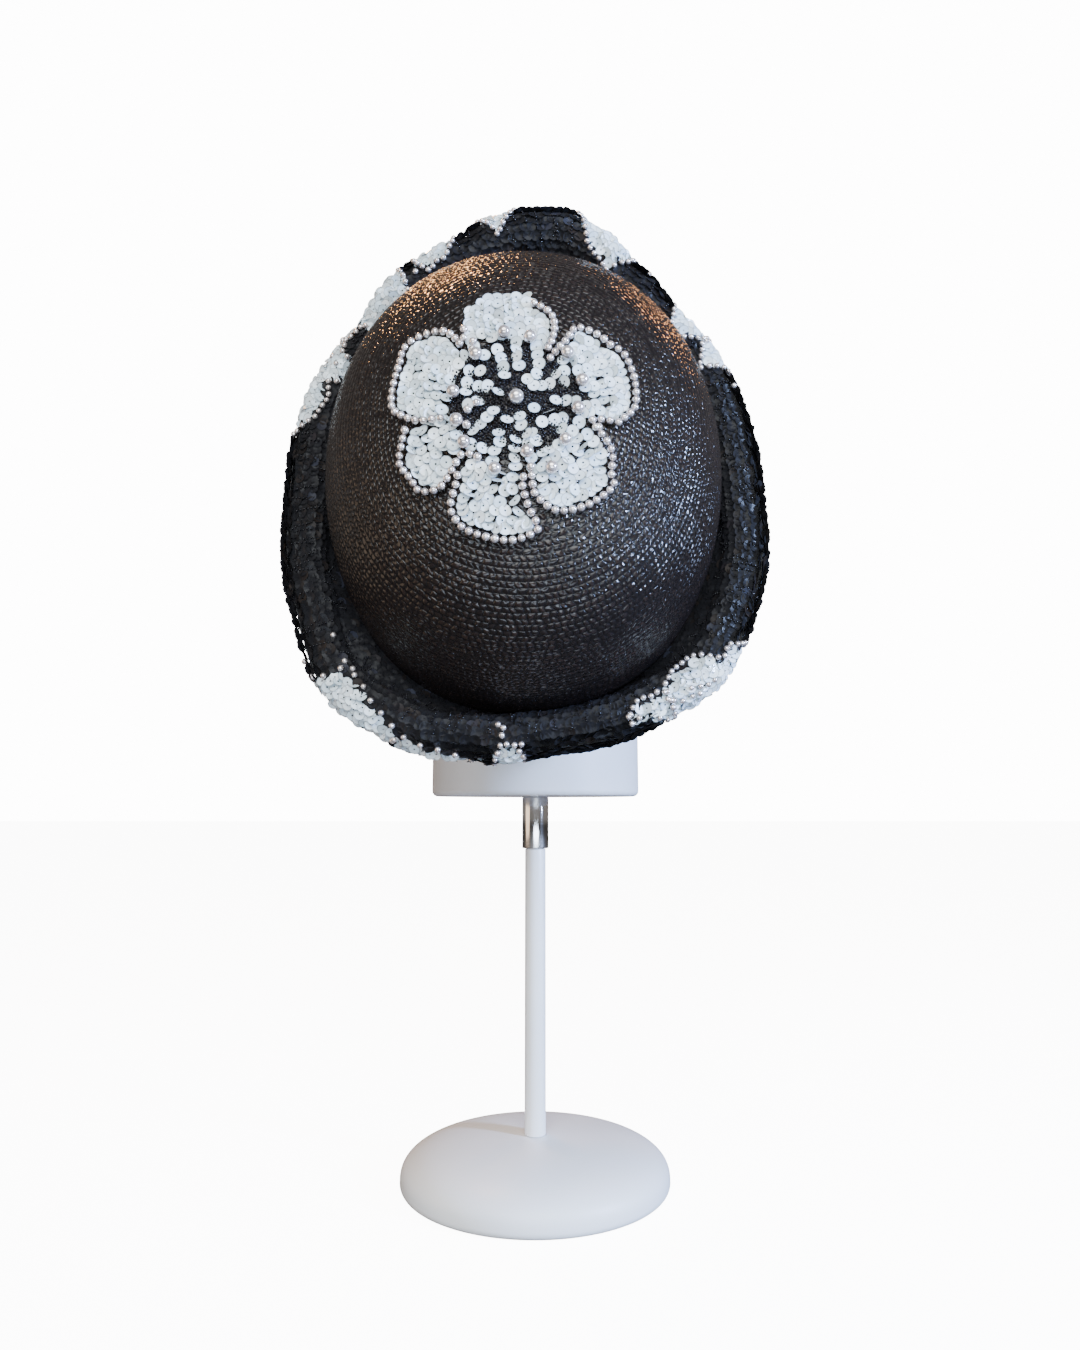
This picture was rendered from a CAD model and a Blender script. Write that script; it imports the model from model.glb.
import math

import bpy
import numpy as np
from mathutils import Matrix, Vector


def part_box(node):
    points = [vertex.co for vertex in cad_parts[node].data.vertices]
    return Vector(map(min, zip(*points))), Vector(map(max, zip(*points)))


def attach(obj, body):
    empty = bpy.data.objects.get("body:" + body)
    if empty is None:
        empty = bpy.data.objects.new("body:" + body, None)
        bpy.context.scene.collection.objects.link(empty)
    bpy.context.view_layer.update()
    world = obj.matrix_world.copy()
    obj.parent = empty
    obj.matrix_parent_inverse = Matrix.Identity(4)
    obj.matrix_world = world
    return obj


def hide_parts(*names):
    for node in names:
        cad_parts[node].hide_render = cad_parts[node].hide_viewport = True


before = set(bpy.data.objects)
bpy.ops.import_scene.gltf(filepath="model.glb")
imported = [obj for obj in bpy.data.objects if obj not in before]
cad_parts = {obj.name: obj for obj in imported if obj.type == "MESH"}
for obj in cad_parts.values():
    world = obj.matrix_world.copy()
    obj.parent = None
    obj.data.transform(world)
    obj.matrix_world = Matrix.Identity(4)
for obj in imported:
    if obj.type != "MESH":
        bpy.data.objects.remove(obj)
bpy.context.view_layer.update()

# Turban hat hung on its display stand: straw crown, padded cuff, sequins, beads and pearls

# Camera at the photograph's angle
CAMERA_PLACE = (0.00255, -0.5400, 0.1960)
CAMERA_PITCH = math.radians(97.65)
CAMERA_LENS = 25.95

# Stand's base
BASE_FULLNESS = 2.8
BASE_EDGE = 0.0040

# Hat, in its own frame: +Z to the top of the crown, +Y to the raised front
GAP = 0.0003
HAT_TILT = math.radians(8.0)
HAT_SIDE_SHIFT = -0.0048
RIM_CENTRE_HEIGHT = 0.3363
BLOCK_RADIUS = 0.0565
HEAD_HALF_WIDTH = 0.0840
HEAD_HALF_LENGTH = 0.0980
STRAW_WALL = 0.0020
CROWN_HALF_WIDTH = 0.0906
CROWN_HALF_LENGTH = 0.1068
CROWN_HEIGHT = 0.1370
SWELL_HEIGHT = 0.0380
FRONT_DIP = 0.0340
CROWN_FLATNESS = 3.4
OVAL_FULLNESS = 2.1

# Cuff
CUFF_HALF_WIDTH = 0.1110
CUFF_HALF_LENGTH = 0.1294
CUFF_HEIGHT = 0.0580
CUFF_FRONT_RISE = 0.0180
CUFF_EDGE_WIDTH = 0.0180
CUFF_EDGE_DEPTH = 0.0085
CUFF_ROOT_WIDTH = 0.0060
CUFF_BULGE = 0.0030
VALLEY_DEPTH = 0.0160
EDGE_SHARE = 0.4

# Cuff outline: clock in degrees, reach as a share of the oval, rise as a share of the front's
CUFF_OUTLINE = (
    (0, 1.070, 1.20), (9, 1.080, 1.18), (17, 1.050, 0.95), (26, 1.000, 0.66), (38, 0.970, 0.36),
    (52, 1.000, 0.06), (70, 1.000, 0.00), (90, 1.003, 0.00), (112, 1.035, 0.00), (135, 1.050, 0.00),
    (155, 0.990, 0.00), (172, 0.960, 0.00), (188, 0.995, 0.00), (204, 1.045, 0.00),
    (222, 1.085, 0.00), (242, 1.035, 0.00), (270, 1.005, 0.00), (298, 1.015, 0.00),
    (315, 0.985, 0.16), (331, 1.020, 0.55), (345, 1.020, 0.87), (353, 1.055, 1.10),
)

# Flower: the pearl line round each petal, as clock directions and millimetres from the middle
FLOWER_SHIFT = (-0.0020, -0.0012)
PEARL_LINES = (
    ((9, 43.8), (14, 42.2), (18, 40.8), (22, 38.5), (26, 34.0), (28, 31.0), (30, 27.3), (31, 24.0)),
    ((39, 24.0), (38, 32.5), (37, 39.5), (48, 43.3), (56, 44.5), (62, 47.4), (72, 47.4), (81, 47.0),
     (92, 46.0), (99, 42.5), (104, 40.0), (105, 35.2), (109, 30.8)),
    ((113, 33.0), (117, 38.5), (122, 43.3), (130, 47.2), (134, 51.0), (147, 51.0), (159, 49.2),
     (165, 45.8), (170, 40.0), (170, 36.5), (169, 30.5)),
    ((175, 34.0), (176, 36.8), (174, 44.3), (172, 49.0), (171, 53.5), (180, 56.5), (189, 56.5),
     (200, 55.5), (207, 52.2), (210, 48.8), (212, 42.8), (214, 39.0)),
    ((209, 29.5), (215, 29.8), (220, 32.0), (219, 37.3), (218, 42.8), (219, 47.2), (225, 51.6),
     (232, 50.8), (241, 51.0), (248, 47.5), (255, 44.3)),
    ((253, 30.0), (257, 37.8), (262, 43.0), (269, 48.2), (280, 49.2), (293, 50.2), (301, 51.8),
     (309, 48.8), (317, 42.5), (318, 36.0), (317, 32.5)),
)
BARE_EDGE = (
    (322, 33.0), (326, 38.0), (331, 43.5), (340, 48.6), (347, 51.0), (356, 51.0), (4, 49.8),
    (9, 46.8),
)
LARGE_PEARLS = (
    (173, 2.0), (350, 27.3), (12, 25.0), (318, 23.0), (273, 23.8), (244, 24.8), (224, 27.8),
    (194, 31.8), (170, 24.8), (156, 33.2), (136, 26.8), (105, 24.2), (77, 25.8), (48, 26.5),
)
EXTRA_PEARLS = (
    (322, 33.5), (326, 37.0), (320, 26.5), (325, 29.5), (40, 20.5), (256, 15.5), (251, 19.4),
    (112, 34.0), (236, 22.5),
)
# Petal bodies: first clock, last clock and inner reach in millimetres
PETAL_BODIES = (
    (321, 33, 27.5), (36, 110, 26.5), (113, 171, 26.0), (174, 216, 32.0), (217, 257, 27.0),
    (253, 319, 27.0),
)
# Sequins that stand alone or in rows towards the middle: clock and millimetres
INNER_SEQUINS = (
    (332, 9.5), (338, 13.3), (340, 17.5), (340, 21.7), (325, 22.0), (5, 13.0), (1, 17.0), (0, 20.5),
    (0, 24.0), (33, 8.2), (60, 8.0), (68, 10.8), (69, 14.0), (41, 12.2), (33, 16.4), (25, 19.7),
    (20, 23.0), (59, 18.0), (60, 21.5), (72, 19.7), (98, 15.5), (96, 19.5), (96, 23.0), (130, 9.2),
    (119, 14.5), (139, 15.4), (125, 18.2), (118, 20.4), (128, 22.4), (159, 17.2), (158, 20.6),
    (170, 9.4), (171, 13.2), (165, 17.0), (166, 20.6), (167, 27.0), (168, 31.0), (197, 11.3),
    (202, 17.3), (197, 20.4), (199, 24.6), (198, 28.5), (180, 18.8), (181, 22.3), (181, 26.2),
    (180, 29.6), (231, 11.0), (229, 14.5), (228, 18.1), (227, 21.9), (279, 6.9), (290, 11.7),
    (285, 15.0), (261, 14.8), (259, 18.8), (308, 17.6), (302, 21.6), (288, 20.0), (276, 19.5),
)

# Cuff petals: the inner edge of each one, as clock directions and places on the cuff's skin; a
# third number is the place where it ends
CUFF_PETALS = (
    ((350, 0.34), (354, 0.14), (358, 0.32)),
    ((10, 0.36), (14, 0.14), (20, 0.08), (24, 0.26)),
    ((37, 0.34), (42, 0.10), (48, 0.26)),
    ((49, 0.24), (54, 0.14), (58, 0.34)),
    ((127, 0.36), (130.7, 0.24), (133.3, 0.26), (134.6, 0.225), (136.6, 0.14), (138.5, 0.10),
     (143.5, 0.11), (147.2, 0.17), (148, 0.24)),
    ((148.3, 0.21), (149.5, 0.19, 0.56), (151, 0.20, 0.36), (154, 0.18, 0.29), (157, 0.22, 0.28)),
    ((180, 0.36), (181.5, 0.27), (184.5, 0.25), (185.6, 0.36)),
    ((187, 0.44), (190, 0.38), (194, 0.33), (196.5, 0.31), (202, 0.29), (205, 0.275)),
    ((205.5, 0.27), (209, 0.23), (212.7, 0.195), (215, 0.16), (217.5, 0.13), (220, 0.13),
     (222, 0.15), (223, 0.24), (225.5, 0.34)),
    ((285, 0.30), (289, 0.20), (296, 0.16), (300, 0.20), (303, 0.08), (307, 0.10), (308.5, 0.24),
     (311.3, 0.27)),
    ((311.7, 0.27), (317, 0.25), (318, 0.10), (324, 0.04), (330, 0.10), (331, 0.24)),
    ((335, 0.26), (336.4, 0.17), (337.5, 0.15), (339, 0.18), (341.5, 0.17), (344.5, 0.28)),
)
CUFF_RIMS = (
    ((59, 0.41), (68, 0.44)),
    ((93, 0.46), (110, 0.46), (126, 0.42)),
    ((226, 0.36), (247, 0.43)),
)
LONE_PEARLS = (
    (185.4, 0.15), (184.2, 0.17), (184.4, 0.21), (180.4, 0.27), (229.5, 0.12), (306.3, 0.28),
    (305, 0.22), (29, 0.30), (62, 0.30), (334, 0.20), (143, 0.255), (141.2, 0.275), (139.6, 0.295),
    (138, 0.30), (148.5, 0.25), (147.5, 0.27), (145.8, 0.295), (143.6, 0.30), (142, 0.31),
    (157.6, 0.24), (155.6, 0.27), (151.5, 0.33), (149.8, 0.39), (148.5, 0.42), (223, 0.12),
    (220.5, 0.11),
)
PETAL_TOP = 0.54
PETAL_FOOT = 0.82
PETAL_WIDEST = 0.97
VALLEY_PLACE = -0.3
NO_WHITE = 9.0

# Small goods sewn on the hat
STRAW_ROW = 0.0024
STRAW_STITCH = 0.0027
STRAW_RELIEF = 0.00010
SEQUIN_RADIUS = 0.0026
SEQUIN_HOLE = 0.00034
SEQUIN_THICKNESS = 0.00016
CUP_RADIUS = 0.0026
CUP_DEPTH = 0.0006
EDGING_PEARL = 0.00165
PEARL_STEP = 0.0034
CUFF_PEARL = 0.0014
LARGE_PEARL = 0.0026
CENTRE_PEARL_SIZE = 1.12
SEED_BEAD = 0.0005

# How far goods stand off the skin under them, and how much the sequins vary
FLOWER_SEQUIN_RISE = 0.0008
FLOWER_PEARL_RISE = 0.0008
CUFF_SEQUIN_RISE = 0.0007
CUFF_PEARL_RISE = 0.0006
CUP_RISE = 0.0003
RING_BEAD_RISE = 0.0016
SEQUIN_RISE_SPREAD = 0.0006

# Spacing: the flower's rows in millimetres, the rest in metres
FLOWER_ROW = 3.4
FLOWER_PITCH = 4.0
EDGE_PITCH = 0.0037
BARE_EDGE_PITCH = 0.0042
CUFF_ROW = 0.0036
CUFF_PITCH = 0.0030
CLOSE_PEARLS = 2.4
SPARSE_PEARLS = 5.2

# Leans of the white sequins; some of the flower's stand up more
FLOWER_LEAN = 11.0
STEEP_LEAN = 32.0
STEEP_SHARE = 0.18
CUFF_LEAN = 0.32

# How far goods lean, roll, spin and change in size at random
FLOWER_SPREADS = (0.34, 0.40, 0.8, 0.05)
CUFF_SPREADS = (0.42, 0.46, 0.9, 0.05)
PEARL_SPREADS = (1.5, 1.5, 0.0, 0.06)
LARGE_PEARL_SPREADS = (1.5, 1.5, 0.0, 0.02)
BEAD_SPREADS = (1.5, 1.5, 0.0, 0.15)

# Black sequins on the cuff: first and last place, rows, spacing, lean in degrees, spread and seed
BLACK_ZONES = {
    "ring_black_sequins": (VALLEY_PLACE, 0.26, 13, 0.0034, 10, 0.14, 11),
    "edge_black_sequins": (0.26, 0.54, 7, 0.0034, 30, 0.32, 12),
    "side_black_sequins": (0.54, 1.0, 14, 0.0036, 28, 0.28, 13),
}

# Lights: place, width and height, power and colour
LIGHTS = {
    "warm_top_left": ((-0.43, 0.60, 1.68), (0.20, 0.20), 11.0, (1.0, 0.49, 0.18)),
    "warm_top_right": ((0.64, 0.84, 1.55), (0.20, 0.20), 3.2, (1.0, 0.43, 0.15)),
    "cool_right": ((1.12, -0.68, 0.50), (0.16, 0.34), 50.0, (0.44, 0.60, 1.0)),
    "cool_low_front": ((0.10, -0.80, 0.08), (0.70, 0.14), 3.2, (0.74, 0.86, 1.0)),
    "warm_left_fill": ((-1.30, -0.45, 0.30), (1.0, 1.0), 6.0, (1.0, 0.74, 0.52)),
    "soft_front": ((-0.02, -1.52, 0.98), (1.50, 1.10), 39.0, (0.93, 0.98, 1.0)),
}
LIGHTS_AIM = (0.0, -0.15, 0.34)
ROOM_COLOUR = (1.0, 0.93, 0.88, 1.0)
ROOM_STRENGTH = 0.26
WHITE = (1.0, 1.0, 1.0, 1.0)
WHITE_STRENGTH = 14.0


def unit(vectors):
    """Directions of unit length."""
    return vectors / np.maximum(np.linalg.norm(vectors, axis=-1, keepdims=True), 1e-12)


def ease(share):
    """Ease from 0 to 1."""
    share = np.clip(share, 0.0, 1.0)
    return share * share * (3.0 - 2.0 * share)


def run_along(points):
    """Distance of each point of a row from its first, along the row."""
    return np.concatenate(([0.0], np.cumsum(np.linalg.norm(np.diff(points, axis=0), axis=-1))))


def all_round(count):
    """Equal angles all round."""
    return 2.0 * math.pi * np.arange(count) / count


def clock_value(column, turn):
    """Smooth value of the cuff's outline in each clock direction."""
    table = np.array(CUFF_OUTLINE + ((360,) + CUFF_OUTLINE[0][1:],), float)
    degrees = np.degrees(turn) % 360.0
    before = np.searchsorted(table[:, 0], degrees, side="right") - 1
    share = ease((degrees - table[before, 0]) / (table[before + 1, 0] - table[before, 0]))
    return table[before, column] * (1.0 - share) + table[before + 1, column] * share


def polar(turn, radius, height):
    """Points of the hat from clock direction, radius and height."""
    turn, radius, height = np.broadcast_arrays(turn, radius, height)
    return np.stack((radius * np.sin(turn), radius * np.cos(turn), height), axis=-1)


def oval_radius(turn, half_width, half_length):
    across = np.abs(np.sin(turn) / half_width) ** OVAL_FULLNESS
    along = np.abs(np.cos(turn) / half_length) ** OVAL_FULLNESS
    return (across + along) ** (-1.0 / OVAL_FULLNESS)


def rim_height(turn):
    """The rim dips towards the front."""
    return -FRONT_DIP * ((1.0 + np.cos(turn)) / 2.0) ** 1.5


def crown_radius(turn, height):
    """Outer radius of the crown in one clock direction at one height."""
    full = oval_radius(turn, CROWN_HALF_WIDTH, CROWN_HALF_LENGTH)
    rise = np.clip((height - SWELL_HEIGHT) / (CROWN_HEIGHT - SWELL_HEIGHT), 0.0, 1.0)
    rim = rim_height(turn)
    head = oval_radius(turn, HEAD_HALF_WIDTH + STRAW_WALL, HEAD_HALF_LENGTH + STRAW_WALL)
    share = ease((height - rim) / (SWELL_HEIGHT - rim))
    return np.where(height >= SWELL_HEIGHT, full * np.sqrt(1.0 - rise ** CROWN_FLATNESS),
                    head * (1.0 - share) + full * share)


def crown_top(x, y):
    """Points of the crown's dome above places of its plan."""
    share = np.hypot(x, y) / oval_radius(np.arctan2(x, y), CROWN_HALF_WIDTH, CROWN_HALF_LENGTH)
    rise = (1.0 - np.minimum(share, 0.999) ** 2) ** (1.0 / CROWN_FLATNESS)
    return np.stack((x, y, SWELL_HEIGHT + (CROWN_HEIGHT - SWELL_HEIGHT) * rise), axis=-1)


def cuff_radius(turn):
    """Outer radius of the cuff at its round edge."""
    return oval_radius(turn, CUFF_HALF_WIDTH, CUFF_HALF_LENGTH) * clock_value(1, turn)


def cuff_top(turn):
    """Height of the cuff's free edge."""
    return CUFF_HEIGHT + CUFF_FRONT_RISE * clock_value(2, turn)


def cuff_skin(turn, place):
    """Points of the cuff's skin: VALLEY_PLACE is at the bottom of the valley beside the crown, 0 at
    the crown side of the round edge, EDGE_SHARE at its outer side and 1 at the rim."""
    turn, place = np.broadcast_arrays(turn, place)
    outer = cuff_radius(turn)
    level = cuff_top(turn) - CUFF_EDGE_DEPTH
    width = np.minimum(CUFF_EDGE_WIDTH, 0.92 * (outer - crown_radius(turn, level) - GAP))
    angle = math.pi * (1.0 - np.maximum(place, 0.0) / EDGE_SHARE)
    edge = polar(turn, outer - width / 2.0 + width / 2.0 * np.cos(angle),
                 level + CUFF_EDGE_DEPTH * np.sin(angle))
    down = (place - EDGE_SHARE) / (1.0 - EDGE_SHARE)
    rim = rim_height(turn)
    root = crown_radius(turn, rim) + CUFF_ROOT_WIDTH
    radius = outer + (root - outer) * down + CUFF_BULGE * np.sin(math.pi * down)
    deep = np.clip(place / VALLEY_PLACE, 0.0, 1.0)
    valley = cuff_top(turn) - VALLEY_DEPTH
    foot = crown_radius(turn, valley) + GAP
    inner = polar(turn, (outer - width) * (1.0 - deep) + foot * deep,
                  level * (1.0 - deep) + valley * deep)
    edge = np.where((place < 0.0)[..., None], inner, edge)
    side = polar(turn, radius, level + (rim - level) * down)
    return np.where((place < EDGE_SHARE)[..., None], edge, side)


# Each skin with the step that its directions are taken over
CROWN_SKIN = (crown_top, 0.0004)
CUFF_SKIN = (cuff_skin, 0.004)


def guides_on(skin, first, second, rise, leans=0.0, sizes=1.0):
    """Guides that stand off a skin: points, directions out of it and across it, leans and sizes."""
    surface, step = skin
    along = surface(first + step, second) - surface(first - step, second)
    across = surface(first, second + step) - surface(first, second - step)
    outs = unit(np.cross(along, across))
    count = len(outs)
    points = surface(first, second) + outs * np.broadcast_to(rise, count)[:, None]
    return points, outs, unit(across), np.broadcast_to(leans, count), np.broadcast_to(sizes, count)


HAT_POSE = Matrix.Translation((
    HAT_SIDE_SHIFT,
    -BLOCK_RADIUS - GAP + HEAD_HALF_LENGTH * math.sin(HAT_TILT),
    RIM_CENTRE_HEIGHT,
)) @ Matrix.Rotation(math.pi / 2.0 - HAT_TILT, 4, "X")
HAT_TURN = np.array(HAT_POSE.to_3x3())
HAT_PLACE = np.array(HAT_POSE.translation)


def hung(points):
    """Points of the hat's own frame where the hat hangs."""
    return points @ HAT_TURN.T + HAT_PLACE


def hung_direction(vectors):
    """Directions of the hat's own frame as the hat hangs."""
    return vectors @ HAT_TURN.T


def mesh_object(name, points, faces, smooth=True):
    """A mesh object at the origin."""
    mesh = bpy.data.meshes.new(name)
    mesh.from_pydata(np.asarray(points, float).tolist(), [], [tuple(face) for face in faces])
    mesh.update()
    if smooth:
        mesh.shade_smooth()
    obj = bpy.data.objects.new(name, mesh)
    bpy.context.scene.collection.objects.link(obj)
    return obj


def ring_quads(rows, columns):
    """Quads between closed rings of points, as an array."""
    row, column = np.meshgrid(np.arange(rows - 1), np.arange(columns), indexing="ij")
    beside = (column + 1) % columns
    quads = np.stack((row * columns + column, row * columns + beside,
                      (row + 1) * columns + beside, (row + 1) * columns + column), axis=-1)
    return quads.reshape(-1, 4)


def capped_faces(rows, columns, order=1):
    """Faces of closed rings between two poles, which are the last two points; order -1 turns the
    faces round."""
    column = np.arange(columns)
    beside = (column + 1) % columns
    last, pole = (rows - 1) * columns, rows * columns + 0 * column
    parts = (ring_quads(rows, columns), np.column_stack((beside, column, pole)),
             np.column_stack((last + column, last + beside, pole + 1)))
    return [face[::order] for part in parts for face in part.tolist()]


def dressed(piece, finish, slot_name, *nodes):
    """Give a finished piece its material, body, slot and the nodes that it stands for."""
    if finish is not None:
        piece.data.materials.clear()
        piece.data.materials.append(finish)
    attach(piece, "root")
    if nodes:
        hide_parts(*nodes)
    return piece


def new_node(tree, kind, inputs=(), **settings):
    """A node with its settings; each input has a name or number, and a value or a socket."""
    node = tree.nodes.new(kind)
    for name, value in settings.items():
        setattr(node, name, value)
    for name, value in inputs:
        if isinstance(value, bpy.types.NodeSocket):
            tree.links.new(value, node.inputs[name])
        else:
            node.inputs[name].default_value = value
    return node


class Finish:
    """A material being wired, with short names for what its nodes do. Underscores in the names of
    the shader's sockets stand for spaces."""

    def __init__(self, name, **values):
        self.material = bpy.data.materials.new(name)
        self.material.use_nodes = True
        self.tree = self.material.node_tree
        self.shader = self.tree.nodes["Principled BSDF"]
        for socket, value in values.items():
            self.shader.inputs[socket.replace("_", " ")].default_value = value

    def node(self, kind, *inputs, output=0, **settings):
        """One output of a new node."""
        return new_node(self.tree, kind, inputs, **settings).outputs[output]

    def maths(self, operation, *values):
        return self.node("ShaderNodeMath", *enumerate(values), operation=operation)

    def coordinates(self, kind="Object"):
        return self.node("ShaderNodeTexCoord", output=kind)

    def attribute(self, name):
        return self.node("ShaderNodeAttribute", output="Fac", attribute_name=name)

    def split(self, vector):
        return new_node(self.tree, "ShaderNodeSeparateXYZ", [(0, vector)]).outputs[:3]

    def joined(self, *places):
        return self.node("ShaderNodeCombineXYZ", *enumerate(places))

    def noise(self, vector, scale, detail=2.0):
        return self.node("ShaderNodeTexNoise", ("Vector", vector), ("Scale", scale),
                         ("Detail", detail))

    def speckle(self, vector):
        """One random value for each cell of whole numbers."""
        return self.node("ShaderNodeTexWhiteNoise", ("Vector", vector), output="Value",
                         noise_dimensions="3D")

    def span(self, value, low, high, to_low, to_high):
        """Map a value from one range to another, with an ease."""
        return self.node("ShaderNodeMapRange", ("Value", value), ("From Min", low),
                         ("From Max", high), ("To Min", to_low), ("To Max", to_high),
                         output="Result", interpolation_type="SMOOTHSTEP")

    def ramp(self, value, *stops):
        """Colour from a value: each stop is a place and a colour."""
        node = new_node(self.tree, "ShaderNodeValToRGB", [(0, value)])
        marks = node.color_ramp.elements
        while len(marks) < len(stops):
            marks.new(0.5)
        for mark, (place, colour) in zip(marks, stops):
            mark.position = place
            mark.color = (*colour, 1.0)
        return node.outputs["Color"]

    def tinted(self, colour, share):
        """A colour made darker by a share."""
        return self.node("ShaderNodeMix", (0, 1.0), (6, colour), (7, share), output=2,
                         data_type="RGBA", blend_type="MULTIPLY")

    def bump(self, height, distance, strength=1.0, *under):
        """Relief on the shape, or on the normal under it."""
        return self.node("ShaderNodeBump", ("Strength", strength), ("Distance", distance),
                         ("Height", height), *(("Normal", normal) for normal in under),
                         output="Normal")

    def into(self, **sources):
        """Wire outputs into the shader."""
        for name, source in sources.items():
            self.tree.links.new(source, self.shader.inputs[name.replace("_", " ")])
        return self.material


def straw_finish():
    """Black-brown braid: one glossy rounded stitch for each step of the UV map, with dull dark
    gaps."""
    finish = Finish("black_straw", Specular_IOR_Level=0.27)
    maths = finish.maths
    across, row, unused = finish.split(finish.coordinates("UV"))
    wander = finish.noise(finish.joined(maths("MULTIPLY", across, 0.9), row), 1.0, 1.0)
    row_number = maths("FLOOR", row)
    row_share = maths("FRACT", row)
    lean = maths("MULTIPLY_ADD", maths("MODULO", row_number, 2.0), 0.6, -0.3)
    slanted = maths("ADD", maths("MULTIPLY_ADD", row_share, lean, across),
                    maths("MULTIPLY", wander, 0.9))
    stitch_number = maths("FLOOR", slanted)
    stitch_share = maths("FRACT", slanted)
    chance = finish.speckle(finish.joined(stitch_number, row_number))
    tip = finish.speckle(finish.joined(stitch_number, row_number, 7.0))
    humps = []
    for share, sharpness in ((stitch_share, 1.8), (row_share, 2.6)):
        side = maths("ABSOLUTE", maths("MULTIPLY_ADD", share, 2.0, -1.0))
        humps.append(maths("SUBTRACT", 1.0, maths("POWER", side, sharpness)))
    hump = maths("MULTIPLY", *humps)
    tilt, slide = [
        maths("MULTIPLY", maths("SUBTRACT", first, 0.5), maths("SUBTRACT", second, 0.5))
        for first, second in ((tip, row_share), (chance, stitch_share))]
    facet = maths("MULTIPLY_ADD", tilt, 3.0, maths("MULTIPLY_ADD", slide, 2.4, 0.6))
    height = maths("MULTIPLY", hump, maths("MULTIPLY_ADD", chance, 0.5, facet))
    threads = finish.joined(maths("MULTIPLY", slanted, 1.3), maths("MULTIPLY", row, 9.0))
    fibre = finish.noise(threads, 1.0, 3.0)
    cloud = finish.noise(finish.coordinates(), 22.0, 3.0)
    shade = maths("ADD", maths("MULTIPLY", cloud, 0.55), maths("MULTIPLY", chance, 0.40))
    open_top = finish.span(hump, 0.18, 0.62, 0.0, 1.0)
    tint = finish.ramp(maths("MULTIPLY", shade, open_top), (0.05, (0.0056, 0.0045, 0.0045)),
                       (0.45, (0.0120, 0.0088, 0.0082)), (0.80, (0.0210, 0.0130, 0.0100)))
    dull = finish.span(hump, 0.20, 0.55, 0.22, 0.07)
    return finish.into(Base_Color=tint, Roughness=maths("MULTIPLY_ADD", fibre, 0.08, dull),
                       Normal=finish.bump(fibre, 0.00003, 0.5, finish.bump(height, 0.00038)))


def cloth_finish():
    """Black backing cloth under the sequins."""
    finish = Finish("black_backing", Sheen_Weight=0.15, Sheen_Roughness=0.5)
    place = finish.coordinates()
    threads = finish.noise(place, 1800.0)
    cloud = finish.noise(place, 60.0, 3.0)
    tint = finish.ramp(cloud, (0.3, (0.0035, 0.0035, 0.0045)), (0.7, (0.0085, 0.0075, 0.0080)))
    return finish.into(Base_Color=tint, Roughness=finish.span(threads, 0.3, 0.7, 0.65, 0.9),
                       Normal=finish.bump(threads, 0.0002, 0.7))


def sewn_finish(name, grains, grain_share, stops, roughness, relief, holed=False, **values):
    """Glossy goods with a fine grain, each one a little unlike the next. Grains are scale and
    detail, roughness is its share of the grain, its share of the tone and its base, and relief is
    depth and strength. Holed goods are darker at the edge and round the hole."""
    finish = Finish(name, **values)
    maths = finish.maths
    tone = finish.attribute("tone")
    grain = finish.noise(finish.coordinates(), *grains)
    of_tone = maths("MULTIPLY", tone, 1.0 - grain_share)
    tint = finish.ramp(maths("MULTIPLY_ADD", grain, grain_share, of_tone), *stops)
    if holed:
        edge = finish.attribute("edge")
        rim = finish.span(edge, 0.80, 0.98, 1.0, 0.42)
        hole = finish.span(edge, 0.0, 0.07, 0.25, 1.0)
        tint = finish.tinted(tint, maths("MULTIPLY", rim, hole))
    by_grain, by_tone, base = roughness
    rough = maths("MULTIPLY_ADD", grain, by_grain, maths("MULTIPLY_ADD", tone, by_tone, base))
    if relief:
        finish.into(Normal=finish.bump(grain, *relief))
    return finish.into(Base_Color=tint, Roughness=rough)


def bead_finish():
    """Glossy black seed beads."""
    return sewn_finish("black_beads", (900.0, 2.0), 0.0,
                       ((0.0, (0.006, 0.006, 0.009)), (1.0, (0.012, 0.011, 0.014))),
                       (0.10, 0.0, 0.06), None, Specular_IOR_Level=0.35)


def black_sequin_finish():
    """Black cup sequins: glossy, a few of them bluer or browner."""
    return sewn_finish("black_sequins", (700.0, 2.0), 0.0,
                       ((0.0, (0.0130, 0.0130, 0.0150)), (0.90, (0.0120, 0.0116, 0.0128)),
                        (0.97, (0.0190, 0.0145, 0.0125)), (1.0, (0.026, 0.029, 0.042))),
                       (0.16, 0.12, 0.20), (0.00006, 0.4), Specular_IOR_Level=0.08)


def white_sequin_finish():
    """Milky flat sequins."""
    return sewn_finish("white_sequins", (420.0, 3.0), 0.5,
                       ((0.1, (0.55, 0.65, 0.72)), (0.45, (0.69, 0.79, 0.84)),
                        (0.75, (0.77, 0.83, 0.86)), (0.95, (0.75, 0.78, 0.85))),
                       (0.18, 0.10, 0.14), (0.00008, 0.4), holed=True, Coat_Weight=0.5,
                       Coat_Roughness=0.10, Subsurface_Weight=0.15,
                       Subsurface_Radius=(0.001, 0.001, 0.001))


def pearl_finish():
    """Pinkish silver pearls with a soft lustre."""
    return sewn_finish("pearl", (500.0, 3.0), 0.6,
                       ((0.15, (0.60, 0.53, 0.52)), (0.5, (0.72, 0.65, 0.63)),
                        (0.85, (0.80, 0.76, 0.75))),
                       (0.12, 0.0, 0.16), (0.00005, 0.3), Metallic=0.72, Coat_Weight=1.0,
                       Coat_Roughness=0.04)


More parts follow.
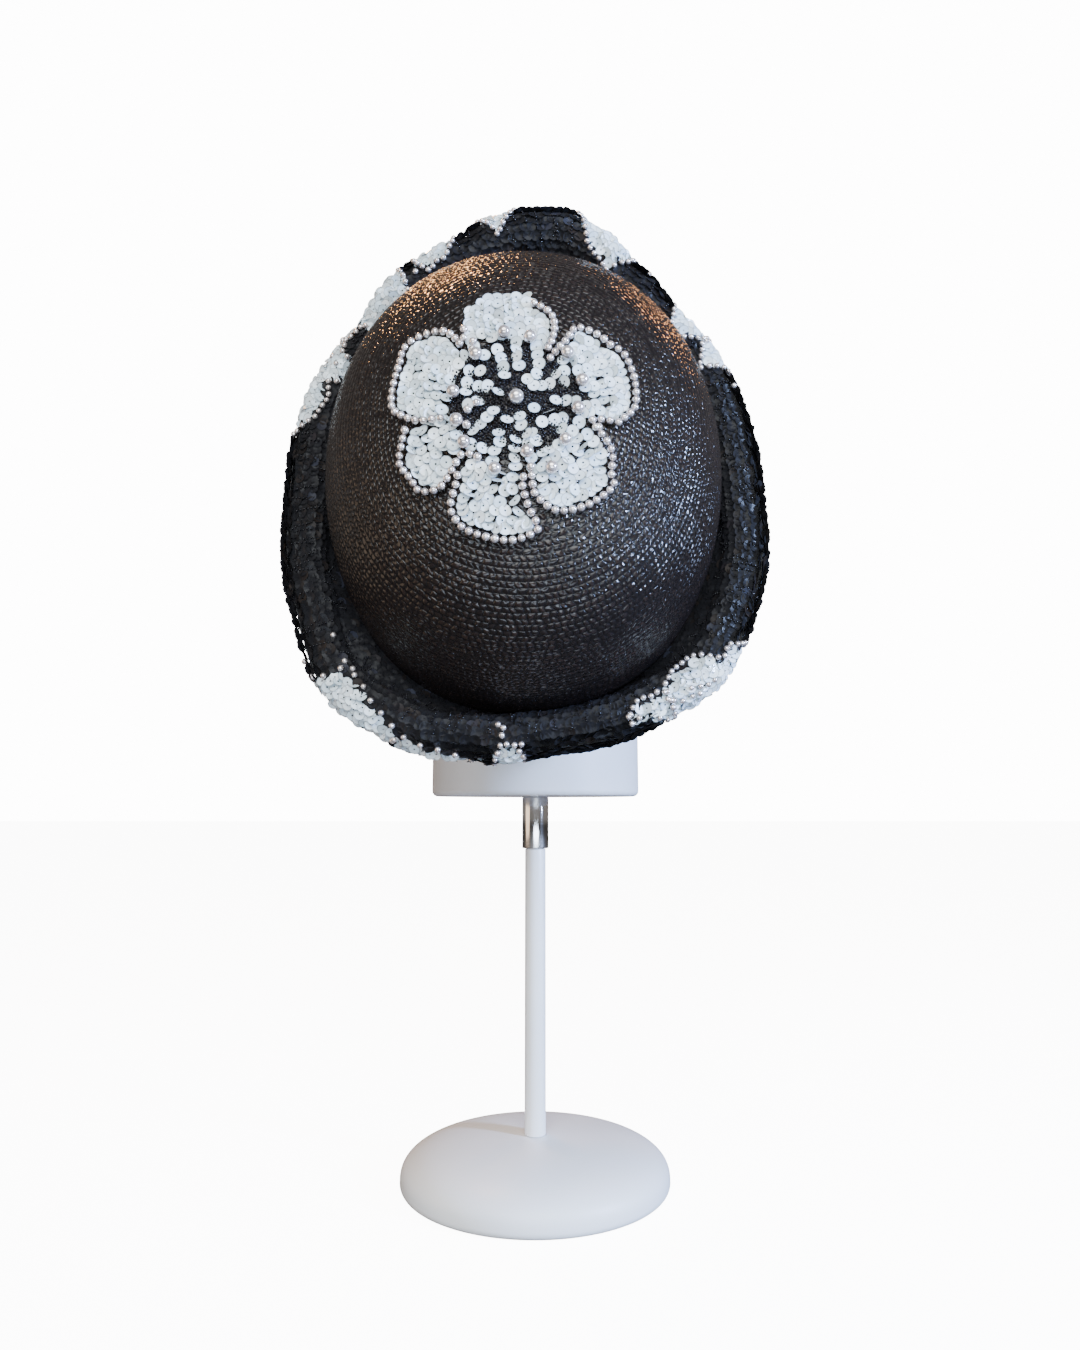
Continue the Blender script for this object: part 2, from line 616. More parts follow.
def painted_finish():
    """Satin white lacquer with a faint orange peel."""
    finish = Finish("stand_white", Coat_Weight=0.12, Coat_Roughness=0.3)
    place = finish.coordinates()
    cloud = finish.noise(place, 9.0, 4.0)
    tint = finish.ramp(cloud, (0.3, (0.77, 0.79, 0.82)), (0.7, (0.84, 0.86, 0.885)))
    return finish.into(Base_Color=tint, Roughness=finish.span(cloud, 0.3, 0.7, 0.36, 0.50),
                       Normal=finish.bump(finish.noise(place, 420.0), 0.00006, 0.5))


def chrome_finish():
    """Polished metal with fine turning marks and faint smears."""
    finish = Finish("stand_chrome", Metallic=1.0)
    place = finish.coordinates()
    x, y, z = finish.split(place)
    marks = finish.noise(finish.joined(x, y, finish.maths("MULTIPLY", z, 90.0)), 60.0)
    smear = finish.noise(place, 35.0, 3.0)
    tint = finish.ramp(smear, (0.3, (0.70, 0.69, 0.68)), (0.7, (0.82, 0.81, 0.80)))
    return finish.into(Base_Color=tint, Roughness=finish.span(smear, 0.3, 0.75, 0.10, 0.24),
                       Normal=finish.bump(marks, 0.00002, 0.3))


def floor_finish():
    """Pale floor that shows nearly white, as a lit sweep does; the hat sees it much darker."""
    finish = Finish("pale_floor", Roughness=0.8, Emission_Color=WHITE)
    seen = finish.node("ShaderNodeLightPath", output="Is Camera Ray")
    cloud = finish.noise(finish.coordinates(), 3.0, 3.0)
    tint = finish.ramp(cloud, (0.3, (0.90, 0.90, 0.90)), (0.7, (0.93, 0.93, 0.93)))
    tint = finish.tinted(tint, finish.maths("MULTIPLY_ADD", seen, 0.90, 0.10))
    return finish.into(Base_Color=tint, Emission_Strength=finish.maths("MULTIPLY", seen, 11.0))


def guide_tree():
    """Geometry Nodes: one shape on every guide point, leaned and turned a little at random."""
    tree = bpy.data.node_groups.new("shape_on_guides", "GeometryNodeTree")
    ports = {"Geometry": "Geometry", "Shape": "Object", "Finish": "Material",
             "Lean spread": "Float", "Roll spread": "Float", "Spin spread": "Float",
             "Size spread": "Float", "Seed": "Int"}
    for name, kind in ports.items():
        tree.interface.new_socket(name, in_out="INPUT", socket_type="NodeSocket" + kind)
    tree.interface.new_socket("Geometry", in_out="OUTPUT", socket_type="NodeSocketGeometry")
    given = tree.nodes.new("NodeGroupInput").outputs

    def node(kind, *inputs, output=0, **settings):
        return new_node(tree, kind, inputs, **settings).outputs[output]

    def named(name, kind):
        return node("GeometryNodeInputNamedAttribute", ("Name", name), output="Attribute",
                    data_type=kind)

    def maths(operation, first, second):
        return node("ShaderNodeMath", (0, first), (1, second), operation=operation)

    def swing(shift, spread):
        """A random value within a spread to either side of 0."""
        seed = maths("ADD", given["Seed"], shift)
        value = node("FunctionNodeRandomValue", ("Min", -1.0), ("Max", 1.0), ("Seed", seed),
                     output="Value", data_type="FLOAT")
        return maths("MULTIPLY", value, spread)

    shape = node("GeometryNodeObjectInfo", ("Object", given["Shape"]), output="Geometry")
    facing = node("FunctionNodeAxesToRotation", ("Primary Axis", named("out", "FLOAT_VECTOR")),
                  ("Secondary Axis", named("along", "FLOAT_VECTOR")), output="Rotation",
                  primary_axis="Z", secondary_axis="Y")
    size = maths("MULTIPLY", named("size", "FLOAT"),
                 maths("ADD", 1.0, swing(1, given["Size spread"])))
    copies = node("GeometryNodeInstanceOnPoints", ("Points", given["Geometry"]),
                  ("Instance", shape), ("Rotation", facing), ("Scale", size), output="Instances")
    lean = maths("ADD", named("lean", "FLOAT"), swing(2, given["Lean spread"]))
    turn = node("ShaderNodeCombineXYZ", (0, lean), (1, swing(3, given["Roll spread"])),
                (2, swing(4, given["Spin spread"])))
    turned = node("GeometryNodeRotateInstances", ("Local Space", True), ("Instances", copies),
                  ("Rotation", node("FunctionNodeEulerToRotation", (0, turn))),
                  output="Instances")
    toned = node("GeometryNodeStoreNamedAttribute", ("Name", "tone"), ("Geometry", turned),
                 ("Value", maths("ADD", 0.5, swing(5, 0.5))), data_type="FLOAT",
                 domain="INSTANCE")
    real = node("GeometryNodeRealizeInstances", ("Geometry", toned))
    painted = node("GeometryNodeSetMaterial", ("Geometry", real), ("Material", given["Finish"]))
    new_node(tree, "NodeGroupOutput", [("Geometry", painted)])
    return tree


def sewn(name, kind, guides, spreads, seed, *nodes):
    """A piece made of one kind of goods, which is a shape, a finish and a slot, set on guides."""
    shape, finish, slot_name = kind
    piece = mesh_object(name, hung(guides[0]), [], smooth=False)
    layers = (("out", "FLOAT_VECTOR", "vector", hung_direction(guides[1])),
              ("along", "FLOAT_VECTOR", "vector", hung_direction(guides[2])),
              ("lean", "FLOAT", "value", guides[3]), ("size", "FLOAT", "value", guides[4]))
    for label, layer_kind, field, values in layers:
        layer = piece.data.attributes.new(label, layer_kind, "POINT")
        layer.data.foreach_set(field, values.astype(np.float32).ravel())
    scatter = piece.modifiers.new("shape_on_guides", "NODES")
    scatter.node_group = GUIDE_TREE
    ports = [item for item in GUIDE_TREE.interface.items_tree if item.in_out == "INPUT"]
    for port, value in zip(ports[1:], (shape, finish, *spreads, seed)):
        scatter[port.identifier] = value
    bpy.context.view_layer.update()
    graph = bpy.context.evaluated_depsgraph_get()
    mesh = bpy.data.meshes.new_from_object(piece.evaluated_get(graph),
                                           preserve_all_data_layers=True, depsgraph=graph)
    piece.modifiers.clear()
    guide_mesh, piece.data = piece.data, mesh
    bpy.data.meshes.remove(guide_mesh)
    return dressed(piece, None, slot_name, *nodes)


def flat_sequin():
    """Flat sequin with a hole: closed, sharp at its outer edge."""
    sides = 14
    rings = ((SEQUIN_HOLE, SEQUIN_THICKNESS * 0.5), (SEQUIN_RADIUS, SEQUIN_THICKNESS * 1.4),
             (SEQUIN_HOLE, -SEQUIN_THICKNESS * 0.5))
    points = [(radius * math.cos(angle), radius * math.sin(angle), height)
              for radius, height in rings for angle in all_round(sides)]
    faces = ring_quads(4, sides)[:, ::-1] % (3 * sides)
    shape = mesh_object("sequin_shape", points, faces, smooth=False)
    edge = shape.data.attributes.new("edge", "FLOAT", "POINT")
    edge.data.foreach_set("value", np.repeat((0.0, 1.0, 0.0), sides))
    return shape


def cup_sequin():
    """Cupped sequin: its hollow faces out."""
    sides = 10
    points = [(CUP_RADIUS * math.cos(angle), CUP_RADIUS * math.sin(angle), CUP_DEPTH)
              for angle in all_round(sides)] + [(0.0, 0.0, 0.0), (0.0, 0.0, -0.00015)]
    return mesh_object("cup_shape", points, capped_faces(1, sides, -1), smooth=False)


def ball(name, radius, sides, bands):
    """A round bead or pearl."""
    slopes = math.pi * np.arange(1, bands) / bands
    points = [(radius * math.sin(slope) * math.cos(turn), radius * math.sin(slope) * math.sin(turn),
               radius * math.cos(slope)) for slope in slopes for turn in all_round(sides)]
    points += [(0.0, 0.0, radius), (0.0, 0.0, -radius)]
    return mesh_object(name, points, capped_faces(bands - 1, sides, -1))


def dome_height(cosine):
    """Height of the dome where its slope has this cosine."""
    return (CROWN_HEIGHT - SWELL_HEIGHT) * cosine ** (2.0 / CROWN_FLATNESS)


def dome_slopes(parts):
    """Number of straw rows, and slopes from the apex to the swell at equal steps along them."""
    slope = np.linspace(0.0, math.pi / 2.0, 2000)
    mean = (CROWN_HALF_WIDTH + CROWN_HALF_LENGTH) / 2.0
    run = run_along(np.column_stack((mean * np.sin(slope), dome_height(np.cos(slope)))))
    rows = int(round(run[-1] / STRAW_ROW))
    return rows, np.interp(np.linspace(0.0, run[-1], rows * parts + 1), run, slope)


def dome_ring(turn, slope):
    """Points of the dome in all clock directions at one slope."""
    radius = oval_radius(turn, CROWN_HALF_WIDTH, CROWN_HALF_LENGTH) * math.sin(slope)
    return polar(turn, radius, SWELL_HEIGHT + dome_height(max(0.0, math.cos(slope))))


def grid_normals(grid):
    """Outward directions of a grid of rings."""
    down = np.gradient(grid, axis=0)
    beside = np.roll(grid, -1, axis=1) - np.roll(grid, 1, axis=1)
    return unit(np.cross(beside, down))


def make_crown(finish):
    """Straw crown: rows of braid on the outside, a plain inner side, one closed shell."""
    columns, parts = 180, 3
    column, turn = np.arange(columns), all_round(columns)
    rows, slopes = dome_slopes(parts)
    dome = len(slopes) - 1
    rim = rim_height(turn)
    side = [polar(turn, crown_radius(turn, height), height)
            for height in (rim + (SWELL_HEIGHT - rim) * share
                           for share in np.linspace(1.0, 0.0, 9)[1:])]
    outer = np.array([dome_ring(turn, slope) for slope in slopes[1:]] + side)
    normals = grid_normals(outer)
    ridge = [STRAW_RELIEF * (0.5 if step % parts else -0.5) for step in range(1, dome)]
    ridge = np.concatenate((ridge, np.zeros(len(side) + 1)))
    inner = (outer - normals * STRAW_WALL)[::-1]
    kept = np.r_[0:len(side), np.arange(len(side), len(inner) - 1, 6)]
    grid = np.concatenate((outer + normals * ridge[:, None, None], inner[kept]))
    apex = [(0.0, 0.0, CROWN_HEIGHT), (0.0, 0.0, CROWN_HEIGHT - STRAW_WALL)]
    crown = mesh_object("straw_crown", hung(np.concatenate((grid.reshape(-1, 3), apex))),
                        capped_faces(len(grid), columns))
    run = run_along(grid[:, 0])
    level = np.concatenate((np.arange(1, dome + 1) / parts,
                            rows + 1.0 + (run[dome:] - run[dome - 1]) / STRAW_ROW))
    around = np.linalg.norm(grid - np.roll(grid, 1, axis=1), axis=-1).sum(axis=1)
    straw_row = np.floor((level[:-1] + level[1:]) / 2.0)
    stitches = np.round(np.interp(straw_row + 0.5, level, around) / STRAW_STITCH)
    width = (stitches / columns)[:, None]
    left = (0.5 * (straw_row % 2.0) + 0.31 * straw_row)[:, None] + width * column
    levels = np.stack((level[:-1], level[:-1], level[1:], level[1:]), axis=-1)[:, None]
    corners = np.stack((np.stack((left, left + width, left + width, left), axis=-1),
                        np.broadcast_to(levels, left.shape + (4,))), axis=-1).reshape(-1, 2)
    fan = [(share, height) for height in (0.3, level[-1]) for index in column
           for share in (0.0, 0.1, 0.05)]
    layer = crown.data.uv_layers.new(name="braid")
    layer.data.foreach_set("uv", np.concatenate((corners, fan)).astype(np.float32).ravel())
    return dressed(crown, finish, "black_straw", "crown")


def make_cuff_pad(finish):
    """The padded band that carries the sequins."""
    columns = 192
    turn = all_round(columns)
    rim = rim_height(turn)
    section = [rim + (SWELL_HEIGHT - rim) * share for share in np.linspace(0.0, 1.0, 7)]
    section.append(cuff_top(turn) - VALLEY_DEPTH)
    rings = [polar(turn, crown_radius(turn, height) + GAP, height) for height in section]
    rings += [cuff_skin(turn, place) for place in np.linspace(0.0, EDGE_SHARE, 16, endpoint=False)]
    rings += [cuff_skin(turn, place) for place in np.linspace(EDGE_SHARE, 1.0, 14)]
    quads = ring_quads(len(rings) + 1, columns) % (len(rings) * columns)
    pad = mesh_object("cuff_pad", hung(np.concatenate(rings)), quads)
    dressed(pad, finish, "black_sequins", "cuff")
    return pad


def petal_line(line):
    """Clock directions, inner places and outer places of a petal, whose outer end is round."""
    marks = [mark[0] for mark in line]
    ends = (marks[0], marks[-1])
    clocks = np.union1d(marks, np.linspace(*ends, 25))
    inner = np.interp(clocks, marks, [mark[1] for mark in line])
    outer = np.interp(clocks, marks, [mark[2] if len(mark) == 3 else NO_WHITE for mark in line])
    side = np.interp(clocks, ends, (-PETAL_WIDEST, PETAL_WIDEST))
    foot = PETAL_TOP + (PETAL_FOOT - PETAL_TOP) * np.sqrt(1.0 - side * side)
    return clocks, inner, np.minimum(outer, foot)


def white_span(turns):
    """Places where white sequins begin and end in each clock direction, or NO_WHITE."""
    clocks = np.degrees(turns) % 360.0
    start, end = np.full((2, len(clocks)), NO_WHITE)
    for line in CUFF_PETALS + CUFF_RIMS:
        marks, inner, outer = petal_line(line)
        here = (clocks >= marks[0]) & (clocks <= marks[-1])
        start[here] = np.interp(clocks, marks, inner)[here]
        end[here] = np.interp(clocks, marks, outer)[here]
    return start, end


def make_black_sequins(name, kind, start, end, rows, spacing, lean, spread, seed):
    """Rows of cupped black sequins round the cuff, each leaning on the next."""
    chance = np.random.default_rng(seed)
    lean = math.radians(lean)
    turns, places = [], []
    for row in range(rows):
        place = start + (end - start) * (row + 0.5) / rows
        around = run_along(cuff_skin(np.linspace(0.0, 2.0 * math.pi, 721), place))[-1]
        count = int(around / spacing)
        shift = 0.5 * (row % 2) + chance.uniform(-0.2, 0.2, count)
        turns.append((np.arange(count) + shift) * 2.0 * math.pi / count)
        places.append(place + chance.uniform(-0.25, 0.25, count) * (end - start) / rows)
    turns, places = np.concatenate(turns), np.clip(np.concatenate(places), -0.29, 0.985)
    first, last = white_span(turns)
    kept = (places < first + 0.02) | (places > last - 0.02)
    rise = CUP_RISE + CUP_RADIUS * math.sin(lean) * 0.7
    points, outs, alongs, *rest = guides_on(CUFF_SKIN, turns[kept], places[kept], rise, lean)
    sewn(name, kind, (points, outs, -alongs, *rest), (spread, spread, 0.6, 0.08), seed)


def flower_plan(marks):
    """Places in the crown's plan from clock directions and millimetres from the flower's middle."""
    clocks, reaches = np.array(marks, float).T
    turns = np.radians(clocks)
    return np.stack((FLOWER_SHIFT[0] + reaches / 1000.0 * np.sin(turns),
                     FLOWER_SHIFT[1] + reaches / 1000.0 * np.cos(turns)), axis=-1)


def even_steps(path, spacing):
    """Points at equal steps along a path of rows."""
    run = run_along(path)
    marks = np.linspace(0.0, run[-1], max(1, int(round(run[-1] / spacing))) + 1)
    return np.stack([np.interp(marks, run, column) for column in path.T], axis=-1)


def smooth_line(points, spacing):
    """Even steps along a smooth curve through points."""
    before, after = 2.0 * points[:1] - points[1:2], 2.0 * points[-1:] - points[-2:-1]
    ends = np.concatenate((before, points, after))
    share = np.linspace(0.0, 1.0, 13)[:-1, None]
    parts = []
    for first, second, third, fourth in zip(ends, ends[1:], ends[2:], ends[3:]):
        parts.append(second + 0.5 * share * (third - first + share * (
            2.0 * first - 5.0 * second + 4.0 * third - fourth
            + share * (3.0 * second - first - 3.0 * third + fourth))))
    return even_steps(np.concatenate(parts + [points[-1:]]), spacing)


def set_in(line, distance):
    """A line of the plan moved to its right-hand side, which is the inside of a petal."""
    run = unit(np.gradient(line, axis=0))
    return line + np.stack((run[:, 1], -run[:, 0]), axis=-1) * distance


def within(points, outline):
    """Which points lie inside a closed outline."""
    before, after = outline, np.roll(outline, -1, axis=0)
    x, y = points[:, :1], points[:, 1:]
    crossed = (before[:, 1] > y) != (after[:, 1] > y)
    rise = np.where(crossed, after[:, 1] - before[:, 1], 1.0)
    level = before[:, 0] + (y - before[:, 1]) * (after[:, 0] - before[:, 0]) / rise
    return (crossed & (x < level)).sum(axis=1) % 2 == 1


def apart(points, others, distance):
    """Which points stay a distance away from all the others."""
    return (np.linalg.norm(points[:, None] - others[None], axis=-1) > distance).all(axis=1)


def petal_sequins(number, chance):
    """Places of one petal's sequins: a row inside its outline, then rows that fill it."""
    line = smooth_line(flower_plan(PEARL_LINES[number]), EDGE_PITCH)
    edge = set_in(line, EDGING_PEARL + SEQUIN_RADIUS * 0.95)
    outline = line
    if number == 0:
        bare = smooth_line(flower_plan(BARE_EDGE), BARE_EDGE_PITCH)
        edge = np.concatenate((set_in(bare, SEQUIN_RADIUS * 0.9), edge))
        outline = np.concatenate((bare, line))
    first, last, inner = PETAL_BODIES[number]
    last += 360 * (last < first)
    arc = flower_plan([(clock, inner) for clock in np.linspace(last, first, 12)])
    outline = np.concatenate((outline, arc))
    fill = []
    for row, reach in enumerate(np.arange(inner + 0.5, 60.0, FLOWER_ROW)):
        step = math.degrees(FLOWER_PITCH / reach)
        for clock in np.arange(first + (0.2 + 0.5 * (row % 2)) * step, last, step):
            fill.append((clock + chance.uniform(-0.16, 0.16) * step,
                         reach + chance.uniform(-0.6, 0.6)))
    fill = flower_plan(fill)
    fill = fill[within(fill, outline)]
    fill = fill[apart(fill, edge, 0.0017) & apart(fill, line, 0.0034)]
    return np.concatenate((edge, fill))


def sequins_on_crown(name, places, kind, seed, *nodes):
    """Flat sequins: each lies on the next one out, so its outward end is raised."""
    chance = np.random.default_rng(seed)
    steep = chance.random(len(places)) < STEEP_SHARE
    rises = FLOWER_SEQUIN_RISE + chance.uniform(0.0, SEQUIN_RISE_SPREAD, len(places))
    points, outs, unused, *rest = guides_on(CROWN_SKIN, *places.T, rises,
                                            np.radians(FLOWER_LEAN + STEEP_LEAN * steep))
    outward = unit(points - crown_top(*np.array(FLOWER_SHIFT)))
    sewn(name, kind, (points, outs, outward, *rest), FLOWER_SPREADS, seed, *nodes)


def pearls_on_crown(name, places, kind, seed, *nodes):
    guides = guides_on(CROWN_SKIN, *places.T, EDGING_PEARL + FLOWER_PEARL_RISE)
    sewn(name, kind, guides, PEARL_SPREADS, seed, *nodes)


def make_flower(sequin, pearl, bead):
    """Six petals edged with pearls, rows of sequins towards the middle and seed beads between."""
    for number, marks in enumerate(PEARL_LINES):
        places = petal_sequins(number, np.random.default_rng(100 + number))
        sequins_on_crown(f"flower_petal_sequins_{number + 1}", places, sequin, 20 + number,
                         f"flower_petal_{number + 1}")
        line = smooth_line(flower_plan(marks), PEARL_STEP)
        pearls_on_crown(f"petal_pearls_{number + 1}", line, pearl, 40 + number,
                        f"petal_edging_{number + 1}")
    sequins_on_crown("flower_inner_sequins", flower_plan(INNER_SEQUINS), sequin, 61)
    pearls_on_crown("flower_extra_pearls", flower_plan(EXTRA_PEARLS), pearl, 62)
    marks = []
    for row, reach in enumerate(np.arange(4.0, 27.0, 1.1)):
        clocks = np.arange(7.0 * (row % 2), 360.0, math.degrees(1.15 / reach))
        marks += [(clock, reach) for clock in clocks]
    places = flower_plan(marks)
    places = places + np.random.default_rng(63).uniform(-0.0003, 0.0003, places.shape)
    sewn("flower_seed_beads", bead, guides_on(CROWN_SKIN, *places.T, SEED_BEAD), BEAD_SPREADS, 64)


def make_large_pearls(kind):
    """The centre pearl and the larger pearls that sit on the petals."""
    nodes = sorted(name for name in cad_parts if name.startswith("large_pearl_"))
    centre = np.arange(len(LARGE_PEARLS)) == 0
    rises = LARGE_PEARL + np.where(centre, 0.0004, 0.0013)
    guides = guides_on(CROWN_SKIN, *flower_plan(LARGE_PEARLS).T, rises, 0.0,
                       np.where(centre, CENTRE_PEARL_SIZE, 1.0))
    sewn("flower_large_pearls", kind, guides, LARGE_PEARL_SPREADS, 60, "centre_pearl", *nodes)


def cuff_white_places(line, chance):
    """Clock directions and places of the white sequins that run out from one inner edge."""
    clocks, starts, ends = petal_line(line)
    middle = np.linspace(clocks[0], clocks[-1], 40)
    edge = cuff_skin(np.radians(middle), np.interp(middle, clocks, starts))
    width = run_along(edge[:, :2])[-1]
    rows = max(2, int(round((width - SEQUIN_RADIUS) / CUFF_ROW)) + 1)
    margin = 0.8 * SEQUIN_RADIUS / width * (clocks[-1] - clocks[0])
    turns, places = [], []
    for row, clock in enumerate(np.linspace(clocks[0] + margin, clocks[-1] - margin, rows)):
        place = np.linspace(np.interp(clock, clocks, starts), np.interp(clock, clocks, ends), 80)
        run = run_along(cuff_skin(np.radians(clock), place))
        marks = np.arange(SEQUIN_RADIUS + 0.0004 + 0.0014 * (row % 2),
                          max(run[-1], SEQUIN_RADIUS + 0.002), CUFF_PITCH)
        marks = marks + chance.uniform(-0.0005, 0.0005, len(marks))
        places.append(np.interp(marks, run, place))
        turns.append(np.radians(clock + chance.uniform(-0.2, 0.2, len(marks))))
    return np.concatenate(turns), np.concatenate(places)


def white_on_cuff(name, lines, kind, seed, *nodes):
    """White sequins from the cuff's edge down its outer face."""
    chance = np.random.default_rng(seed)
    turns, places = np.concatenate([cuff_white_places(line, chance) for line in lines], axis=1)
    rises = CUFF_SEQUIN_RISE + chance.uniform(0.0, SEQUIN_RISE_SPREAD, len(turns))
    guides = guides_on(CUFF_SKIN, turns, places, rises, CUFF_LEAN)
    sewn(name, kind, guides, CUFF_SPREADS, seed, *nodes)


def make_cuff_petals(kind):
    """The white petals that bend over the cuff's edge, and the white edge between some of them."""
    for number, line in enumerate(CUFF_PETALS):
        white_on_cuff(f"cuff_petal_sequins_{number + 1:02d}", [line], kind, 70 + number,
                      f"cuff_petal_{number + 1:02d}")
    white_on_cuff("cuff_edge_sequins", CUFF_RIMS, kind, 83)


def make_cuff_pearls(kind):
    """The pearls that edge the cuff's petals, and those that stand alone."""
    strings = []
    for line in CUFF_PETALS + CUFF_RIMS:
        clocks, places, ends = petal_line(line)
        if line in CUFF_PETALS:
            tops = np.minimum(ends, 0.52)
            clocks = np.concatenate((clocks[:1] - 0.4, clocks, clocks[-1:] + 0.4))
            places = np.concatenate((tops[:1], places, tops[-1:]))
        mark = np.arange(len(clocks))
        share = np.linspace(0.0, mark[-1], 14 * mark[-1] + 1)
        path = np.stack((np.radians(np.interp(share, mark, clocks)),
                         np.interp(share, mark, places)))
        run = run_along(cuff_skin(*path))
        sparse = 187 <= clocks[1] <= 206 or line in CUFF_RIMS
        pitch = CUFF_PEARL * (SPARSE_PEARLS if sparse else CLOSE_PEARLS)
        steps = np.linspace(0.0, run[-1], int(round(run[-1] / pitch)) + 1)
        strings.append([np.interp(steps, run, values) for values in path])
    clocks, places = np.array(LONE_PEARLS).T
    path = np.concatenate(strings + [(np.radians(clocks), places)], axis=1)
    guides = guides_on(CUFF_SKIN, *path, CUFF_PEARL + CUFF_PEARL_RISE)
    sewn("cuff_petal_pearls", kind, guides, PEARL_SPREADS, 90)


def make_ring_beads(kind):
    """Short rows of seed beads sewn across the ring that faces out."""
    chance = np.random.default_rng(7)
    rows = 260
    turns, places = [], []
    for row in range(rows):
        beads = np.arange(int(chance.integers(4, 9)))
        first = chance.uniform(-0.14, 0.22)
        turn = 2.0 * math.pi * (row + chance.uniform(-0.3, 0.3)) / rows
        places.append(first + 0.021 * beads)
        turns.append(turn + chance.uniform(-0.006, 0.006) * beads)
    turns, places = np.concatenate(turns), np.concatenate(places)
    kept = places < white_span(turns)[0] - 0.02
    guides = guides_on(CUFF_SKIN, turns[kept], places[kept], RING_BEAD_RISE)
    sewn("cuff_seed_beads", kind, guides, BEAD_SPREADS, 91)


def turned(name, profile, steps=96):
    """A turned piece from a profile that runs from the top of its axis to the bottom."""
    profile = np.array(profile, float)
    rings = profile[1:-1]
    grid = polar(-all_round(steps)[None, :], rings[:, :1], rings[:, 1:])
    poles = [(0.0, 0.0, profile[0, 1]), (0.0, 0.0, profile[-1, 1])]
    piece = mesh_object(name, np.concatenate((grid.reshape(-1, 3), poles)),
                        capped_faces(len(rings), steps, -1))
    piece.data.set_sharp_from_angle(angle=math.radians(50.0))
    return piece


def arc(centre_radius, centre_height, radius, start, end, steps):
    """Points of a round in a profile, angles in degrees from the level."""
    angle = np.radians(np.linspace(start, end, steps + 1))
    return list(zip(centre_radius + radius * np.cos(angle), centre_height + radius * np.sin(angle)))


def node_size(node):
    """Radius, bottom and top of a round node on the stand's axis."""
    low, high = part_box(node)
    return (high.x - low.x) / 2.0, low.z, high.z


def make_stand(white, chrome):
    """Base, pole, collar and block, smoother than the solids that they stand for."""
    radius, bottom, top = node_size("stand_base")
    fullness = 2.0 / BASE_FULLNESS
    slope = np.linspace(0.0, math.pi / 2.0, 40)[1:-1]
    edge = bottom + BASE_EDGE
    heights = edge + (top - edge) * np.cos(slope) ** fullness
    profile = [(0.0, top)] + list(zip(radius * np.sin(slope) ** fullness, heights))
    profile += arc(radius - BASE_EDGE, edge, BASE_EDGE, 0.0, -90.0, 8) + [(0.0, bottom)]
    dressed(turned("base_dome", profile, 128), white, "stand_white", "stand_base")
    radius, bottom, top = node_size("stand_block")
    edge = 0.003
    profile = [(0.0, top)] + arc(0.0, top - radius, radius, 90.0, 0.0, 20)[1:]
    profile += arc(radius - edge, bottom + edge, edge, 0.0, -90.0, 6) + [(0.0, bottom)]
    dressed(turned("display_block", profile, 128), white, "stand_white", "stand_block")
    for name, node, edge, finish, slot_name in (
            ("pole_rod", "stand_pole", 0.0003, white, "stand_white"),
            ("pole_collar", "stand_collar", 0.0006, chrome, "stand_chrome")):
        radius, bottom, top = node_size(node)
        profile = [(0.0, top)] + arc(radius - edge, top - edge, edge, 90.0, 0.0, 4)
        profile += arc(radius - edge, bottom + edge, edge, 0.0, -90.0, 4) + [(0.0, bottom)]
        dressed(turned(name, profile, 64), finish, slot_name, node)


def area_light(name, place, size, power, colour):
    """A soft light that looks at the hat."""
    data = bpy.data.lights.new(name, "AREA")
    data.shape = "ELLIPSE"
    data.size, data.size_y = size
    data.energy = power
    data.color = colour
    lamp = bpy.data.objects.new(name, data)
    lamp.location = place
    aim = Vector(LIGHTS_AIM) - Vector(place)
    lamp.rotation_euler = aim.to_track_quat("-Z", "Y").to_euler()
    bpy.context.scene.collection.objects.link(lamp)


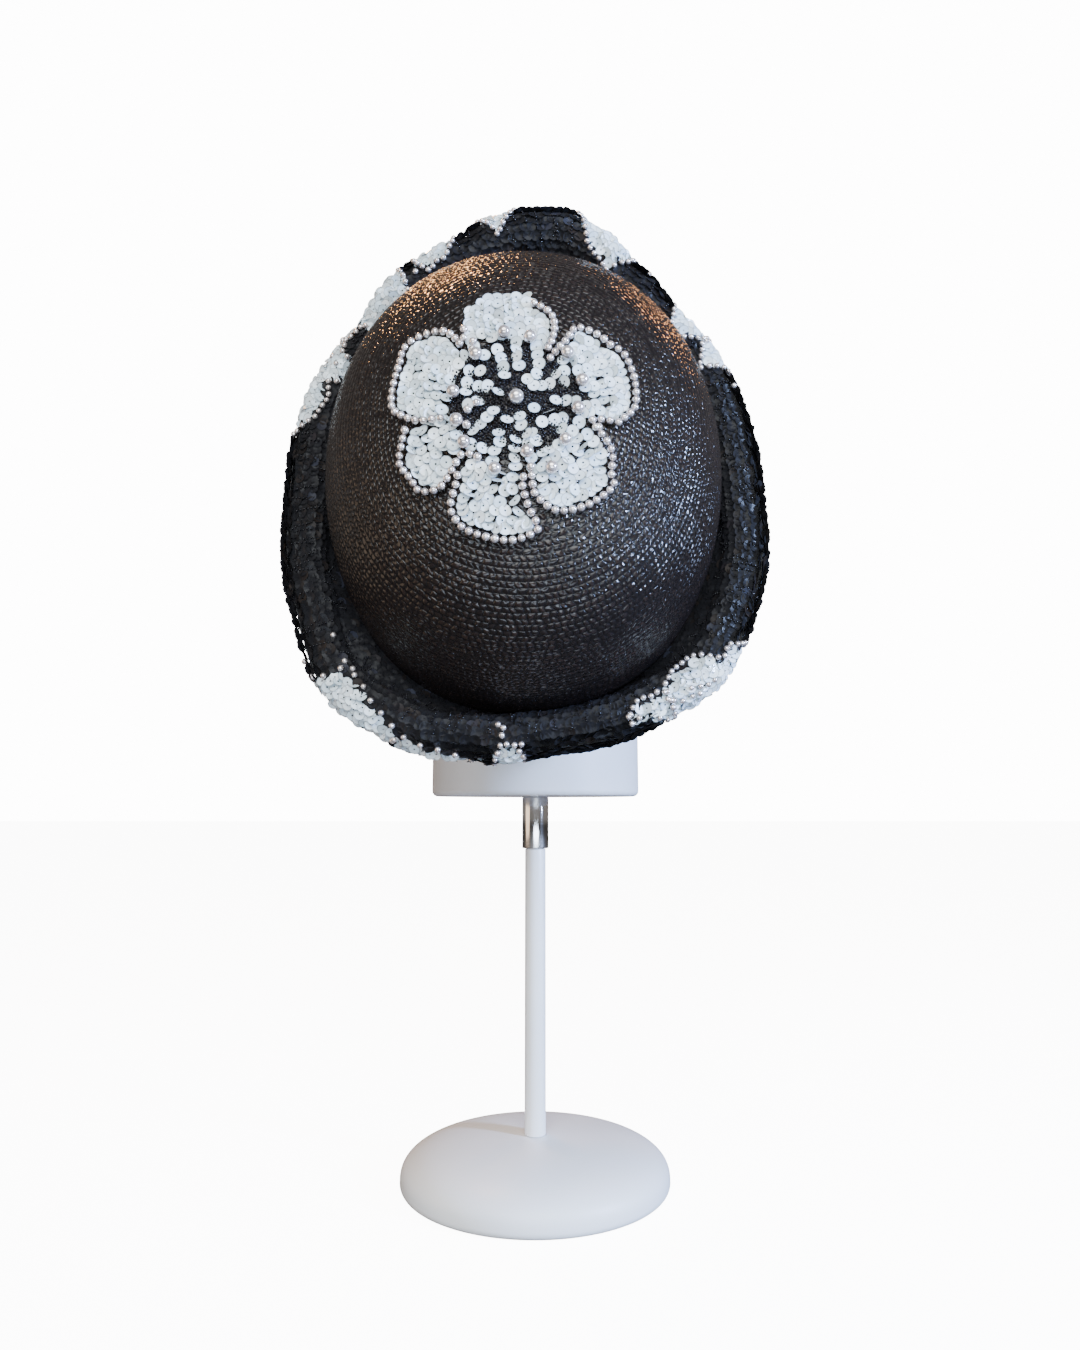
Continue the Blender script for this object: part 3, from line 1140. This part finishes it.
def make_stage():
    """Camera, floor, world and lights."""
    scene = bpy.context.scene
    camera = bpy.data.objects.new("camera", bpy.data.cameras.new("camera"))
    camera.data.lens = CAMERA_LENS
    camera.data.sensor_width = 36.0
    camera.data.clip_start = 0.01
    camera.location = CAMERA_PLACE
    camera.rotation_euler = (CAMERA_PITCH, 0.0, 0.0)
    scene.collection.objects.link(camera)
    scene.camera = camera
    corners = [(-12, -12, 0), (12, -12, 0), (12, 12, 0), (-12, 12, 0)]
    floor = mesh_object("floor", corners, [(0, 1, 2, 3)])
    floor.data.materials.append(floor_finish())
    scene.world = bpy.data.worlds.new("studio")
    scene.world.use_nodes = True
    tree = scene.world.node_tree
    room = tree.nodes["Background"]
    room.inputs["Color"].default_value = ROOM_COLOUR
    room.inputs["Strength"].default_value = ROOM_STRENGTH
    seen = new_node(tree, "ShaderNodeLightPath").outputs["Is Camera Ray"]
    white = new_node(tree, "ShaderNodeBackground",
                     [("Color", WHITE), ("Strength", WHITE_STRENGTH)])
    mix = new_node(tree, "ShaderNodeMixShader",
                   [(0, seen), (1, room.outputs[0]), (2, white.outputs[0])])
    tree.links.new(mix.outputs[0], tree.nodes["World Output"].inputs["Surface"])
    for name, settings in LIGHTS.items():
        area_light(name, *settings)


GUIDE_TREE = guide_tree()


def main():
    make_stage()
    straw = straw_finish()
    black = black_sequin_finish()
    jet = bead_finish()
    milky = white_sequin_finish()
    lustre = pearl_finish()
    make_stand(painted_finish(), chrome_finish())
    make_crown(straw)
    make_cuff_pad(cloth_finish())
    sequin = (flat_sequin(), milky, "white_sequins")
    cup = (cup_sequin(), black, "black_sequins")
    edging = (ball("edging_pearl_shape", EDGING_PEARL, 12, 8), lustre, "pearl")
    small = (ball("cuff_pearl_shape", CUFF_PEARL, 9, 6), lustre, "pearl")
    large = (ball("large_pearl_shape", LARGE_PEARL, 24, 16), lustre, "pearl")
    bead = (ball("seed_bead_shape", SEED_BEAD, 6, 4), jet, "black_sequins")
    for name, zone in BLACK_ZONES.items():
        make_black_sequins(name, cup, *zone)
    make_flower(sequin, edging, bead)
    make_large_pearls(large)
    make_cuff_petals(sequin)
    make_cuff_pearls(small)
    make_ring_beads(bead)
    for shape, *unused in (sequin, cup, edging, small, large, bead):
        bpy.data.objects.remove(shape, do_unlink=True)


main()
